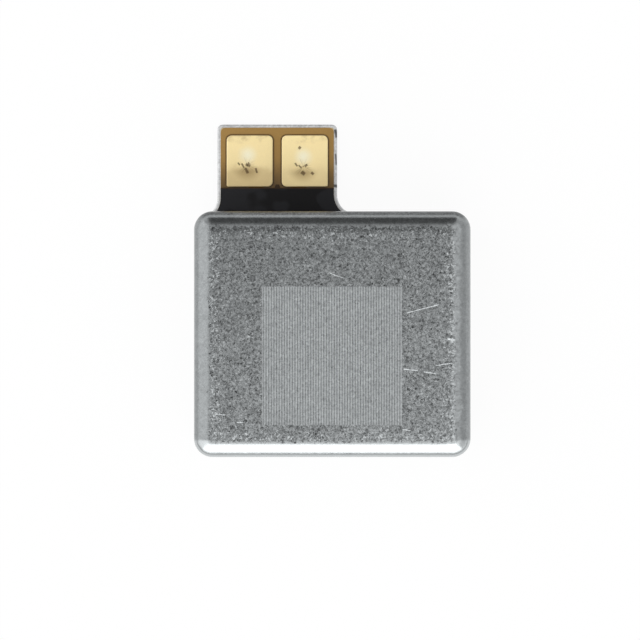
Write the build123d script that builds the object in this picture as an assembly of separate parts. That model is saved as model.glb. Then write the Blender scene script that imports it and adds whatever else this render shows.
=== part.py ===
"""Linear vibration motor for a phone: a sealed steel can with a mass that slides on two V springs.

Row frame: +X is the way the mass travels, +Y points to the contact tab, +Z up through the lid.
The origin is the centre of the can's underside. Sizes are in millimetres.
"""

import os

from build123d import *

# ---------------------------------------------------------------- can
can_length = 9.0  # along X
can_width = 8.0  # along Y
motor_height = 3.2  # underside of the base plate to the lid
base_thickness = 0.2
cover_wall = 0.2
can_corner_radius = 0.6  # in plan
can_edge_radius = 0.52  # between the lid and the walls

# ---------------------------------------------------------------- contact tab, one piece with the base plate
tab_width = 3.98
tab_reach = 2.96  # past the can's wall
tab_offset = -1.82  # of the tab's centreline from the can's
tab_tip_radius = 0.18
tab_root_radius = 0.62

# ---------------------------------------------------------------- flex circuit on the tab
flex_inset = 0.11  # bare metal round the flex
bond_thickness = 0.03
film_thickness = 0.04
copper_thickness = 0.025
coverlay_cover = 0.03  # coverlay above the copper
flex_tail = 1.05  # flex inside the can, from the inner wall
flex_wall_gap = 0.03  # from the flared film to the can's outer face
slot_side_gap = 0.06
slot_roof_gap = 0.05
pad_length = 1.70
pad_gap = 0.30  # between the two pads
pad_side_margin = 0.2  # from the flex's side to the pads
pad_tip_margin = 0.26  # from the flex's end to the pads
pad_thickness = 0.05
pad_corner_radius = 0.16
pad_outer_heel_radius = 0.04
coverlay_pad_gap = 0.04
dish_radius = 0.55  # dish in a pad, where a spring contact sits
dish_depth = 0.03
pit_radius = 0.03  # of the pit, level with the dish's bottom
pit_depth = 0.012
land_width = 0.7
land_length = 0.5
land_pitch = 1.4
land_tail_margin = 0.15  # from the land to the flex's inner end
land_window_margin = 0.04
trace_width = 0.5

# ---------------------------------------------------------------- moving mass
travel = 0.4  # each way from rest
spring_room = 1.1  # from the can's end wall to the mass
mass_side_gap = 0.35  # from the can's side wall to the mass
mass_floor_gap = 0.35  # above the base plate
mass_roof_gap = 0.22  # below the lid
mass_end_wall = 0.75  # beside the coil's pocket, along X
mass_side_wall = 0.7  # beside the coil's pocket, along Y
mass_corner_radius = 0.35
mass_edge_chamfer = 0.08
magnet_joint = 0.01  # glue line round each magnet
magnet_chamfer = 0.06
magnet_past_coil = 0.05  # at each end, along X
magnet_short_of_coil = 0.2  # at each end, along Y
pole_plate_thickness = 0.3
pole_plate_overlap = 0.32  # past the magnets' pocket, each side

# ---------------------------------------------------------------- coil
coil_gap = 0.15  # coil to the wall of its pocket, past the travel along X
coil_section = 1.05  # width of the winding
coil_height = 0.8
coil_inner_radius = 0.25
coil_bond_thickness = 0.03
air_gap = 0.2  # coil to magnets
lead_diameter = 0.06
lead_gap = 0.01  # between a lead and what it passes
lead_bend_radius = 0.06
lead_exit_x = 0.3  # where a lead leaves the coil, each side of the centre line
solder_radius = 0.22
solder_height = 0.13

# ---------------------------------------------------------------- V springs, and what is on them
spring_thickness = 0.12
spring_floor_gap = 0.55
spring_roof_gap = 0.35
arm_end_gap = 0.9  # from the can's side wall to the free ends of the arms
bend_gap = 0.75  # from the can's side wall to the bend's centreline
bend_width = 0.42
bend_radius = 0.17
arm_knee_radius = 0.8
weld_zone_length = 1.6  # of arm that lies flat on the wall or on the mass
weld_plate_length = 1.5
weld_plate_thickness = 0.15
weld_plate_margin = 0.1  # below the spring's edges
bumper_thickness = 0.1
bumper_margin = 0.12  # inside the weld plate's edges
bumper_edge_radius = 0.03
foam_thickness = 0.07
foam_length = 1.2
foam_margin = 0.25  # below the spring's edges
foam_bend_gap = 0.45  # from the bend's centreline

# ---------------------------------------------------------------- worked out from the above
lid_underside_z = motor_height - cover_wall
inner_x = can_length / 2 - cover_wall
inner_y = can_width / 2 - cover_wall
tab_end_y = can_width / 2 + tab_reach

bond_top_z = base_thickness + bond_thickness
film_top_z = bond_top_z + film_thickness
copper_top_z = film_top_z + copper_thickness
coverlay_top_z = copper_top_z + coverlay_cover
pad_top_z = copper_top_z + pad_thickness
flex_width = tab_width - 2 * flex_inset
flex_end_y = tab_end_y - flex_inset
flex_tail_y = inner_y - flex_tail
pad_width = (flex_width - 2 * pad_side_margin - pad_gap) / 2
pad_pitch = pad_width + pad_gap
pad_tip_y = flex_end_y - pad_tip_margin
pad_heel_y = pad_tip_y - pad_length
coverlay_edge_y = pad_heel_y - coverlay_pad_gap
land_y = flex_tail_y + land_tail_margin + land_length / 2

mass_end_x = inner_x - spring_room
mass_side_y = inner_y - mass_side_gap
mass_base_z = base_thickness + mass_floor_gap
mass_top_z = lid_underside_z - mass_roof_gap
coil_pocket_x = 2 * (mass_end_x - mass_end_wall)
coil_pocket_y = 2 * (mass_side_y - mass_side_wall)
coil_length_x = coil_pocket_x - 2 * (travel + coil_gap)
coil_length_y = coil_pocket_y - 2 * coil_gap
coil_base_z = base_thickness + coil_bond_thickness
coil_top_z = coil_base_z + coil_height

magnet_base_z = coil_top_z + air_gap
magnet_top_z = mass_top_z - pole_plate_thickness
magnet_total_x = coil_length_x + 2 * magnet_past_coil
magnet_width = (magnet_total_x - 2 * magnet_joint) / 3
magnet_length_y = coil_length_y - 2 * magnet_short_of_coil
magnet_pocket_x = magnet_total_x + 2 * magnet_joint
magnet_pocket_y = magnet_length_y + 2 * magnet_joint
coil_pocket_z = magnet_base_z - magnet_joint
pole_plate_x = magnet_pocket_x + 2 * pole_plate_overlap
pole_plate_y = magnet_pocket_y + 2 * pole_plate_overlap

spring_base_z = base_thickness + spring_floor_gap
spring_top_z = lid_underside_z - spring_roof_gap
wall_arm_x = inner_x - spring_thickness / 2
mass_arm_x = mass_end_x + spring_thickness / 2
bend_x = (wall_arm_x + mass_arm_x) / 2
bend_y = inner_y - bend_gap
arm_end_y = -(inner_y - arm_end_gap)
knee_y = arm_end_y + weld_zone_length

side_signs = {"left": -1, "right": 1}


def slab(sketch, low_z, high_z):
    """The sketch extruded from one height to another."""
    return Pos(0, 0, low_z) * extrude(sketch, high_z - low_z)


def block(size_x, size_y, low_z, high_z, at=(0.0, 0.0)):
    """A plain box standing from one height to another."""
    return slab(Pos(at[0], at[1]) * Rectangle(size_x, size_y), low_z, high_z)


def band(low_y, high_y):
    """A sketch that covers everything between two places along Y."""
    return Pos(0, (low_y + high_y) / 2) * Rectangle(3 * can_length, high_y - low_y)


def cap_ball_radius(rim_radius, depth):
    """Radius of the ball whose cap has this rim and depth."""
    return (rim_radius**2 + depth**2) / (2 * depth)


def opposite(shape):
    """The same shape turned half a turn about Z."""
    return Rot(0, 0, 180) * shape


# ---------------------------------------------------------------- can


def plate_outline():
    """The can's footprint with the tab, its root flared into the can by tangent arcs."""
    root_y = can_width / 2 - can_corner_radius
    tab = Pos(tab_offset, (root_y + tab_end_y) / 2) * Rectangle(tab_width, tab_end_y - root_y)
    outline = RectangleRounded(can_length, can_width, can_corner_radius) + tab
    outline = fillet(outline.vertices().sort_by(Axis.Y)[-2:], tab_tip_radius)
    grown = offset(outline, amount=tab_root_radius, kind=Kind.ARC)
    return offset(grown, amount=-tab_root_radius, kind=Kind.ARC)


def base_plate():
    return slab(plate_outline(), 0, base_thickness)


def cover():
    """Drawn can, with the slot that the flex leaves through."""

    def rounded_box(length, width, low_z, high_z, corner, edge):
        solid = slab(RectangleRounded(length, width, corner), low_z, high_z)
        return fillet(solid.faces().sort_by(Axis.Z)[-1].edges(), edge)

    shell = rounded_box(
        can_length, can_width, base_thickness, motor_height, can_corner_radius, can_edge_radius
    ) - rounded_box(
        2 * inner_x,
        2 * inner_y,
        base_thickness,
        lid_underside_z,
        can_corner_radius - cover_wall,
        can_edge_radius - cover_wall,
    )
    slot = block(
        flex_width + 2 * slot_side_gap,
        3 * cover_wall,
        base_thickness,
        coverlay_top_z + slot_roof_gap,
        (tab_offset, can_width / 2 - cover_wall / 2),
    )
    return shell - slot


# ---------------------------------------------------------------- flex circuit


def flex_outline():
    """The flared film on the tab, and the straight tail through the slot."""
    on_tab = offset(plate_outline(), amount=-flex_inset, kind=Kind.ARC) & band(
        can_width / 2 + flex_wall_gap, tab_end_y
    )
    tail_end = can_width / 2 + tab_root_radius
    tail = Pos(tab_offset, (flex_tail_y + tail_end) / 2) * Rectangle(
        flex_width, tail_end - flex_tail_y
    )
    return on_tab + tail


def pad_centre(sign):
    return (tab_offset + sign * pad_pitch / 2, (pad_tip_y + pad_heel_y) / 2)


def pad_outline(sign):
    """One contact pad: its heel is nearly square on the outer side."""
    outline = Pos(*pad_centre(sign)) * Rectangle(pad_width, pad_length)
    heel = outline.vertices().sort_by(Axis.Y)[:2]
    inner_heel, outer_heel = heel.sort_by(lambda v: sign * v.X)
    outline = fillet(outer_heel, pad_outer_heel_radius)
    tips = outline.vertices().sort_by(Axis.Y)[-2:]
    inner_heel = outline.vertices().sort_by_distance(inner_heel)[0]
    return fillet([*tips, inner_heel], pad_corner_radius)


def land_place(sign):
    return (tab_offset + sign * land_pitch / 2, land_y)


def conductor_outline(sign):
    """Land under the contact pad, trace, and the land that a coil lead is soldered to."""
    land_x, _ = land_place(sign)
    top = pad_heel_y + trace_width
    trace = Pos(land_x, (land_y + top) / 2) * Rectangle(trace_width, top - land_y)
    land = Pos(land_x, land_y) * Rectangle(land_width, land_length)
    return pad_outline(sign) + trace + land


def flex_conductor(sign):
    return slab(conductor_outline(sign), film_top_z, copper_top_z)


def flex_coverlay():
    """Black film over the traces, moulded round them and open over the coil lands."""
    sheet = flex_outline() & band(flex_tail_y, coverlay_edge_y)
    body = slab(sheet, film_top_z, coverlay_top_z)
    for sign in side_signs.values():
        body -= flex_conductor(sign)
        window = Pos(*land_place(sign)) * Rectangle(
            land_width + 2 * land_window_margin, land_length + 2 * land_window_margin
        )
        body -= slab(window, film_top_z, coverlay_top_z)
    return body


def contact_pad(sign):
    """Gold pad with the shallow dish and pit of a spring contact."""
    body = slab(pad_outline(sign), copper_top_z, pad_top_z)
    dish_z = pad_top_z - dish_depth
    ball = cap_ball_radius(dish_radius, dish_depth)
    dish = Pos(*pad_centre(sign), dish_z + ball) * Sphere(ball)
    pit = Pos(*pad_centre(sign), dish_z) * Cone(0, 2 * pit_radius, 2 * pit_depth)
    return body - dish - pit


# ---------------------------------------------------------------- coil


def coil_outline():
    outer = RectangleRounded(coil_length_x, coil_length_y, coil_section + coil_inner_radius)
    hole = RectangleRounded(
        coil_length_x - 2 * coil_section, coil_length_y - 2 * coil_section, coil_inner_radius
    )
    return outer - hole


def lead_path(sign):
    """Centreline of a coil lead, with tangent bends between straight runs.

    The left lead comes off the outside of the winding. The right one comes up
    out of the hole and over the end turn. Both then run low to their lands.
    """
    stand_off = lead_diameter / 2 + lead_gap
    exit_x = sign * lead_exit_x
    past_end_y = coil_length_y / 2 + stand_off
    low_z = coverlay_top_z + stand_off
    start_z = coil_base_z + coil_height / 2
    points = [(exit_x, past_end_y, low_z), (*land_place(sign), low_z)]
    if sign > 0:
        hole_y = coil_length_y / 2 - coil_section - stand_off
        over_z = coil_top_z + stand_off
        points = [
            (exit_x, hole_y, start_z),
            (exit_x, hole_y, over_z),
            (exit_x, past_end_y, over_z),
            *points,
        ]
    else:
        points = [(exit_x, past_end_y, start_z), *points]
    return FilletPolyline(*points, radius=lead_bend_radius)


def coil_lead(sign):
    path = lead_path(sign)
    return sweep(Plane(path @ 0, z_dir=path % 0) * Circle(lead_diameter / 2), path=path)


def solder_joint(sign):
    """Dome of solder over the lead's end."""
    ball = cap_ball_radius(solder_radius, solder_height)
    place = land_place(sign)
    dome = Pos(*place, copper_top_z + solder_height - ball) * Sphere(ball)
    room = Pos(*place) * Rectangle(3 * solder_radius, 3 * solder_radius)
    return (dome & slab(room, copper_top_z, copper_top_z + solder_height)) - coil_lead(sign)


# ---------------------------------------------------------------- springs


def v_spring():
    """The +X spring: one arm on the can's wall, one on the mass, joined by a tight bend."""
    leg = bend_width / 2
    path = FilletPolyline(
        (wall_arm_x, arm_end_y),
        (wall_arm_x, knee_y),
        (bend_x + leg, bend_y),
        (bend_x - leg, bend_y),
        (mass_arm_x, knee_y),
        (mass_arm_x, arm_end_y),
        radius=[arm_knee_radius, bend_radius, bend_radius, arm_knee_radius],
    )
    return slab(trace(path, spring_thickness), spring_base_z, spring_top_z)


def welded_piece(low_x, thickness, margin):
    """A block on a spring's weld zone, from low_x, set in from the weld plate's outline."""
    edge = weld_plate_margin + margin
    return block(
        thickness,
        weld_plate_length - 2 * margin,
        spring_base_z + edge,
        spring_top_z - edge,
        (low_x + thickness / 2, arm_end_y + weld_plate_length / 2),
    )


def outer_weld_plate():
    """Backing plate on the spring arm that is welded to the wall."""
    return welded_piece(inner_x - spring_thickness - weld_plate_thickness, weld_plate_thickness, 0)


def inner_weld_plate():
    """Backing plate on the spring arm that is welded to the mass."""
    return welded_piece(mass_end_x + spring_thickness, weld_plate_thickness, 0)


def bumper():
    """Rubber stop bonded to the outer weld plate, which the inner one meets at full travel."""
    plate_x = inner_x - spring_thickness - weld_plate_thickness
    pad = welded_piece(plate_x - bumper_thickness, bumper_thickness, bumper_margin)
    return fillet(pad.faces().sort_by(Axis.X)[0].edges(), bumper_edge_radius)


def damper_foam():
    """Foam strip on the mass, which the spring's arm comes down to as it closes."""
    return block(
        foam_thickness,
        foam_length,
        spring_base_z + foam_margin,
        spring_top_z - foam_margin,
        (mass_end_x + foam_thickness / 2, bend_y - foam_bend_gap - foam_length / 2),
    )


# ---------------------------------------------------------------- moving mass


def weight():
    """Tungsten block: coil pocket below, magnet pocket through it, rebate on top for the pole plate."""
    outline = RectangleRounded(2 * mass_end_x, 2 * mass_side_y, mass_corner_radius)
    body = slab(outline, mass_base_z, mass_top_z)
    faces = body.faces().sort_by(Axis.Z)
    body = chamfer([*faces[0].edges(), *faces[-1].edges()], mass_edge_chamfer)
    body -= block(coil_pocket_x, coil_pocket_y, mass_base_z, coil_pocket_z)
    body -= block(magnet_pocket_x, magnet_pocket_y, coil_pocket_z, magnet_top_z)
    body -= block(pole_plate_x, pole_plate_y, magnet_top_z, mass_top_z)
    return body


def pole_plate():
    return block(
        pole_plate_x - 2 * magnet_joint,
        pole_plate_y - 2 * magnet_joint,
        magnet_top_z,
        mass_top_z,
    )


def magnet(index):
    """One of three blocks side by side along X; index is -1, 0 or 1."""
    pitch = magnet_width + magnet_joint
    body = block(magnet_width, magnet_length_y, magnet_base_z, magnet_top_z, (index * pitch, 0))
    return chamfer(body.edges(), magnet_chamfer)


# ---------------------------------------------------------------- all parts


def all_parts():
    parts = {
        "base_plate": base_plate(),
        "cover": cover(),
        "flex_bond_film": slab(flex_outline(), base_thickness, bond_top_z),
        "flex_base_film": slab(flex_outline(), bond_top_z, film_top_z),
        "flex_coverlay": flex_coverlay(),
        "coil_bond_film": slab(coil_outline(), base_thickness, coil_base_z),
        "coil": slab(coil_outline(), coil_base_z, coil_top_z),
        "weight": weight(),
        "pole_plate": pole_plate(),
        "magnet_left": magnet(-1),
        "magnet_centre": magnet(0),
        "magnet_right": magnet(1),
    }
    for side, sign in side_signs.items():
        parts[f"flex_conductor_{side}"] = flex_conductor(sign)
        parts[f"contact_pad_{side}"] = contact_pad(sign)
        parts[f"coil_lead_{side}"] = coil_lead(sign)
        parts[f"solder_joint_{side}"] = solder_joint(sign)
    pairs = {
        "spring": v_spring,
        "outer_weld_plate": outer_weld_plate,
        "inner_weld_plate": inner_weld_plate,
        "bumper": bumper,
        "damper_foam": damper_foam,
    }
    for name, make in pairs.items():
        parts[f"{name}_right"] = make()
        parts[f"{name}_left"] = opposite(make())
    return parts


os.makedirs("parts", exist_ok=True)
for name, shape in all_parts().items():
    export_step(shape, f"parts/{name}.step")
    print(name, round(shape.volume, 4), "mm3")
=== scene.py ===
# %% [markdown]
# # A linear vibration motor
# The motor is a flat steel can, 9 mm by 8 mm, with a contact tab at the back. Inside, a tungsten
# weight with three magnets slides on two V springs over a flat coil. The CAD model comes in as a
# fixed frame, so every size below is read from its nodes or is a named size of the real part.

# %% Load the frame
import math

import bmesh
import bpy
from mathutils import Matrix, Vector


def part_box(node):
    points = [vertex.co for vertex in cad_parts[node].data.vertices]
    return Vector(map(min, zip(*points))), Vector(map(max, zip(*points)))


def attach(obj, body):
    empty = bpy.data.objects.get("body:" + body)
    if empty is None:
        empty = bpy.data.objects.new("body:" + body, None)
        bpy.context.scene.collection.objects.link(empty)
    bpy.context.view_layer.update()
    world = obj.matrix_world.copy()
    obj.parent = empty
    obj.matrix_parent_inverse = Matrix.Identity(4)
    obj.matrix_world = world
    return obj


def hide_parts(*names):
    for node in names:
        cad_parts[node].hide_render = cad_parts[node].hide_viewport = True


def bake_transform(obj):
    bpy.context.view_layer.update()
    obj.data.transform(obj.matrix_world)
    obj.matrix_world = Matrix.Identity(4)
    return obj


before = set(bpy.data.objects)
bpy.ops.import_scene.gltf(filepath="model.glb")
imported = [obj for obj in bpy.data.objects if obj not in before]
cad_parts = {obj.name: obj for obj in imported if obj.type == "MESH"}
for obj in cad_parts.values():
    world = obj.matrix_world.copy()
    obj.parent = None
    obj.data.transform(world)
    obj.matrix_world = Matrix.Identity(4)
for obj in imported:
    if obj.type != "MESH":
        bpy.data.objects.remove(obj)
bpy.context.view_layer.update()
mm = 0.001

# %% [markdown]
# ## Camera
# A product shot from straight above with a long lens keeps the can's walls out of sight, so the
# rounded rim of the lid is the outline. The camera looks down, a little to the left of the middle.

# %% Camera over the lid
can_low, can_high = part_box("cover")
plate_low, plate_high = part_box("base_plate")
view_centre = Vector((-0.40, 0.46, 0)) * mm
camera_height = 118.4 * mm

bpy.ops.object.camera_add(location=view_centre + Vector((0, 0, camera_height)), rotation=(0, 0, 0))
camera = bpy.context.object
camera.name = "camera"
camera.data.lens = 200
camera.data.sensor_width = 36
camera.data.clip_start = 10 * mm
camera.data.clip_end = 2
bpy.context.scene.camera = camera
bpy.context.scene.view_settings.view_transform = "Standard"
print("camera at", [round(c / mm, 1) for c in camera.location], "mm")

# %% [markdown]
# ## Shader arithmetic
# Most finishes are sums of masks: so much noise, so much wear near an edge. A Wire wraps a socket,
# so that such a sum is written as a Python expression, and each sign in it adds a Math node.

# %% Wires and nodes


class Wire:
    """A socket that does arithmetic. Each operation adds a Math node and gives its result."""

    def __init__(self, nodes, socket):
        self.nodes = nodes
        self.socket = socket

    def __add__(self, other):
        return self.nodes.maths("ADD", self, other)

    def __radd__(self, other):
        return self.nodes.maths("ADD", other, self)

    def __sub__(self, other):
        return self.nodes.maths("SUBTRACT", self, other)

    def __rsub__(self, other):
        return self.nodes.maths("SUBTRACT", other, self)

    def __mul__(self, other):
        return self.nodes.maths("MULTIPLY", self, other)

    def __rmul__(self, other):
        return self.nodes.maths("MULTIPLY", other, self)

    def __truediv__(self, other):
        return self.nodes.maths("DIVIDE", self, other)

    def __neg__(self):
        return self.nodes.maths("MULTIPLY", self, -1.0)

    def __abs__(self):
        return self.nodes.maths("ABSOLUTE", self)


class Nodes:
    """The node tree of one material or of the world."""

    def __init__(self, tree):
        self.tree = tree
        self.tree.nodes.clear()

    def add(self, kind, settings=None, sockets=None, out=0):
        """Add a node: its type, its settings, then the values or links of its sockets."""
        node = self.tree.nodes.new("ShaderNode" + kind)
        for name, value in (settings or {}).items():
            setattr(node, name, value)
        for where, value in (sockets or {}).items():
            if isinstance(value, Wire):
                self.tree.links.new(value.socket, node.inputs[where])
            else:
                node.inputs[where].default_value = value
        return Wire(self, node.outputs[out]) if node.outputs else None

    def maths(self, operation, first, second=0.0):
        return self.add("Math", {"operation": operation}, {0: first, 1: second})

    def vector(self, operation, first, second, out=0):
        return self.add("VectorMath", {"operation": operation}, {0: first, 1: second}, out)

    def clamp(self, value):
        """The value kept between 0 and 1."""
        return self.add("Clamp", {}, {"Value": value})

    def step(self, value, start, end):
        """0 before start, 1 after end, and a soft rise between them; end may be the lower one."""
        low, high = min(start, end), max(start, end)
        rise = self.add(
            "MapRange",
            {"interpolation_type": "SMOOTHSTEP"},
            {"Value": value, "From Min": low, "From Max": high},
        )
        return rise if end > start else 1.0 - rise

    def blend(self, mask, under, over):
        """One colour under another, which shows where the mask is 1."""
        return self.add("Mix", {"data_type": "RGBA"}, {0: mask, 6: under, 7: over}, out=2)

    def shaded(self, colour, strength):
        """The colour times a strength, which may be over 1."""
        grey = self.add("CombineXYZ", {}, {"X": strength, "Y": strength, "Z": strength})
        return self.vector("MULTIPLY", colour, grey)

    def parts(self, vector):
        """The three components of a vector."""
        split = self.tree.nodes.new("ShaderNodeSeparateXYZ")
        self.tree.links.new(vector.socket, split.inputs[0])
        return [Wire(self, output) for output in split.outputs]


def display(red, green, blue):
    """A colour as a screen writes it, 0 to 255 a channel, as the linear colour a shader takes."""

    def linear(channel):
        share = channel / 255
        return share / 12.92 if share < 0.04045 else ((share + 0.055) / 1.055) ** 2.4

    return (linear(red), linear(green), linear(blue), 1.0)


print("white is", display(255, 255, 255))

# %% [markdown]
# ## Studio
# Polished metal shows the room more than its own colour, so the room is part of the finish. The
# world is a plain grey ceiling with a white card in front of the motor, a dark one behind it and
# pale ones at its sides. They are smooth steps of the direction that a ray leaves in.

# %% World
world = bpy.data.worlds.new("studio")
bpy.context.scene.world = world
world.use_nodes = True
room = Nodes(world.node_tree)
to_right, to_back, upward = room.parts(room.add("TexCoord", out="Generated"))
to_front = -to_back
sideways = abs(to_right)

front_card = room.step(to_front, 0.30, 0.42) * room.step(to_front - sideways * 0.95, -0.06, 0.06)
back_card = room.step(to_back, 0.14, 0.52) * room.step(to_back - sideways * 2.4, -0.05, 0.12)
back_card = back_card * room.step(upward, 0.22, 0.32)
left_card = room.step(-to_right, 0.03, 0.32) * room.step(-to_right - abs(to_back), -0.10, 0.10)
right_card = room.step(to_right, 0.10, 0.45) * room.step(to_right - abs(to_back), -0.10, 0.10)

ceiling_level = 0.72
front_level = 2.2
back_level = 0.13
left_level = 1.37
right_level = 0.79
horizon_rise = 0.70
front_rise = 0.34
level = ceiling_level + to_front * front_rise + (1.0 - upward) * horizon_rise
level = level + front_card * (front_level - level)
level = level + back_card * (back_level - level)
level = level + left_card * (left_level - level)
level = level + right_card * (right_level - level)
light = room.add("Background", {}, {"Color": (1.0, 1.0, 1.0, 1.0), "Strength": level})
room.add("OutputWorld", {}, {"Surface": light})
print("ceiling", ceiling_level, "front card", front_level)

# %% [markdown]
# ## Floor
# The motor lies on a plain white sweep. A matt white alone renders a little grey, so what the lens
# and the mirrors see of it is mixed with a plain white, and the rest keeps the motor's soft shadow.

# %% Floor
floor_size = 1.2
floor_gap = 0.01 * mm


def put_down():
    """Leave edit mode, with nothing selected."""
    if bpy.context.mode != "OBJECT":
        bpy.ops.object.mode_set(mode="OBJECT")
    bpy.ops.object.select_all(action="DESELECT")


put_down()
bpy.ops.mesh.primitive_plane_add(size=floor_size, location=(0, 0, plate_low.z - floor_gap))
floor = bpy.context.object
floor.name = "floor"
bpy.ops.object.transform_apply(location=True, rotation=True, scale=True)

white = bpy.data.materials.new("white_sweep")
white.use_nodes = True
sweep_nodes = Nodes(white.node_tree)
matt = sweep_nodes.add("BsdfDiffuse", {}, {"Color": display(240, 240, 240)})
plain = sweep_nodes.add("Emission", {}, {"Color": (1.0, 1.0, 1.0, 1.0), "Strength": 1.0})
seen_by_lens = sweep_nodes.add("LightPath", out="Is Camera Ray")
seen_in_metal = sweep_nodes.add("LightPath", out="Is Glossy Ray")
seen_through_glass = sweep_nodes.add("LightPath", out="Is Transmission Ray")
seen = sweep_nodes.clamp(seen_by_lens + seen_in_metal + seen_through_glass)
floor_surface = sweep_nodes.add("MixShader", {}, {0: seen * 0.93, 1: matt, 2: plain})
sweep_nodes.add("OutputMaterial", {}, {"Surface": floor_surface})
floor.data.materials.append(white)
print("floor", floor_size, "m")

# %% [markdown]
# ## Tools of the bench
# The pieces are pressed, cut or swept shapes. A block is a cube primitive at its size and place. A
# pen is one point that is extruded along straight lines and spun round arcs, for cut outlines. The
# same two moves carry a whole section along a path. Parts of a mesh are chosen by their place.

# %% Choosing parts of a mesh

same_point = 0.0005 * mm


def chosen(kind, test):
    """Select the points, edges or faces that pass the test, and count them."""
    bpy.ops.mesh.select_mode(type=kind)
    bpy.ops.mesh.select_all(action="DESELECT")
    mesh = bpy.context.object.data
    cage = bmesh.from_edit_mesh(mesh)
    parts = {"VERT": cage.verts, "EDGE": cage.edges, "FACE": cage.faces}[kind]
    count = 0
    for part in parts:
        if test(part):
            part.select_set(True)
            count += 1
    cage.select_flush_mode()
    bmesh.update_edit_mesh(mesh)
    return count


def choose_edges(test):
    """Select the edges whose two ends pass the test."""
    return chosen("EDGE", lambda edge: test(edge.verts[0].co, edge.verts[1].co))


def choose_faces(test):
    """Select the faces whose middle and normal pass the test."""
    return chosen("FACE", lambda face: test(face.calc_center_median(), face.normal))


def choose_rims():
    """Select every open edge."""
    return chosen("EDGE", lambda edge: len(edge.link_faces) < 2)


def upright(a, b):
    return abs(a.z - b.z) > 10 * ((a.xy - b.xy).length)


def near(value, target):
    return abs(value - target) < 0.002 * mm


# %% Blocks


def new_block(name, low, high):
    """A cube primitive at its size and place, in edit mode."""
    put_down()
    bpy.ops.mesh.primitive_cube_add(size=1, location=(low + high) / 2, scale=high - low)
    piece = bpy.context.object
    piece.name = name
    bpy.ops.object.transform_apply(location=True, rotation=True, scale=True)
    bpy.ops.object.mode_set(mode="EDIT")
    return piece


def round_chosen(width, steps):
    """Round the selected edges to a radius."""
    bpy.ops.mesh.bevel(offset=width, segments=steps, affect="EDGES")


def close_mesh():
    """Merge doubles and turn every face outward, then leave edit mode."""
    bpy.ops.mesh.select_mode(type="VERT")
    bpy.ops.mesh.select_all(action="SELECT")
    bpy.ops.mesh.remove_doubles(threshold=same_point)
    bpy.ops.mesh.normals_make_consistent(inside=False)
    bpy.ops.object.mode_set(mode="OBJECT")


# %% Modifiers


def hold(piece):
    """Make this the only selected piece and the active one."""
    put_down()
    piece.select_set(True)
    bpy.context.view_layer.objects.active = piece


def apply_modifier(piece, kind, **settings):
    """Add a modifier with these settings and apply it."""
    hold(piece)
    modifier = piece.modifiers.new(kind.lower(), kind)
    for name, value in settings.items():
        setattr(modifier, name, value)
    bpy.ops.object.modifier_apply(modifier=modifier.name)


def cut(piece, cutter):
    """Cut one solid out of another, and throw the cutter away."""
    apply_modifier(piece, "BOOLEAN", object=cutter, operation="DIFFERENCE", solver="EXACT")
    bpy.data.objects.remove(cutter)


def soften(piece, width, steps=2, sharper_than=40):
    """Break every sharp edge, and keep the flat faces flat under the smooth shading."""
    hold(piece)
    bpy.ops.object.shade_smooth()
    apply_modifier(
        piece,
        "BEVEL",
        width=width,
        segments=steps,
        limit_method="ANGLE",
        angle_limit=math.radians(sharper_than),
        harden_normals=True,
    )


def smooth(piece, degrees=40):
    hold(piece)
    bpy.ops.object.shade_smooth_by_angle(angle=math.radians(degrees))


# %% Pen and path moves

UP = Vector((0, 0, 1))


def pen_down(name, point):
    """Start an outline: a plane primitive merged to one point, in edit mode."""
    put_down()
    bpy.ops.mesh.primitive_plane_add(size=mm)
    piece = bpy.context.object
    piece.name = name
    bpy.ops.object.mode_set(mode="EDIT")
    bpy.ops.mesh.merge(type="CENTER")
    bpy.ops.transform.translate(value=point)
    bpy.ops.mesh.select_mode(type="VERT")
    return piece


def carry(move, cuts=1):
    """Carry what is selected along a straight run."""
    for _ in range(cuts):
        bpy.ops.mesh.extrude_region_move(TRANSFORM_OT_translate={"value": move / cuts})


def turn(centre, degrees, steps, axis=UP):
    """Carry what is selected round an arc, counter-clockwise as seen from the axis's tip."""
    bpy.ops.mesh.spin(steps=steps, angle=-math.radians(degrees), center=centre, axis=axis)


def pen_at():
    """Where the pen is now."""
    cage = bmesh.from_edit_mesh(bpy.context.object.data)
    return next(point.co.copy() for point in cage.verts if point.select)


def line_to(x, y):
    """Draw a straight line at the pen's own height."""
    at = pen_at()
    carry(Vector((x, y, at.z)) - at)


def arc_about(x, y, degrees, steps):
    turn(Vector((x, y, pen_at().z)), degrees, steps)


def fill_outline():
    """Close the pen's outline and fill it with one face."""
    bpy.ops.mesh.select_all(action="SELECT")
    bpy.ops.mesh.remove_doubles(threshold=same_point)
    bpy.ops.mesh.select_all(action="SELECT")
    bpy.ops.mesh.edge_face_add()


def raise_outline(thickness):
    """Give the filled outline its thickness."""
    bpy.ops.mesh.select_mode(type="FACE")
    bpy.ops.mesh.select_all(action="SELECT")
    carry(Vector((0, 0, thickness)))
    close_mesh()


def follow(corners, radii, steps, cuts=1):
    """Carry the selection along a path from corner to corner, with a bend at each inner one."""
    at = corners[0]
    for index in range(1, len(corners) - 1):
        corner = corners[index]
        ahead = (corner - corners[index - 1]).normalized()
        after = (corners[index + 1] - corner).normalized()
        bend = ahead.angle(after)
        radius = radii[index - 1]
        reach = radius * math.tan(bend / 2)
        bend_start = corner - ahead * reach
        if (bend_start - at).length > 0.001 * mm:
            carry(bend_start - at, cuts)
        axis = ahead.cross(after).normalized()
        centre = bend_start + axis.cross(ahead).normalized() * radius
        turn(centre, math.degrees(bend), steps, axis)
        at = corner + after * reach
    carry(corners[-1] - at, cuts)


# %% Placing and copying pieces

finish_of = {}


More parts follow.
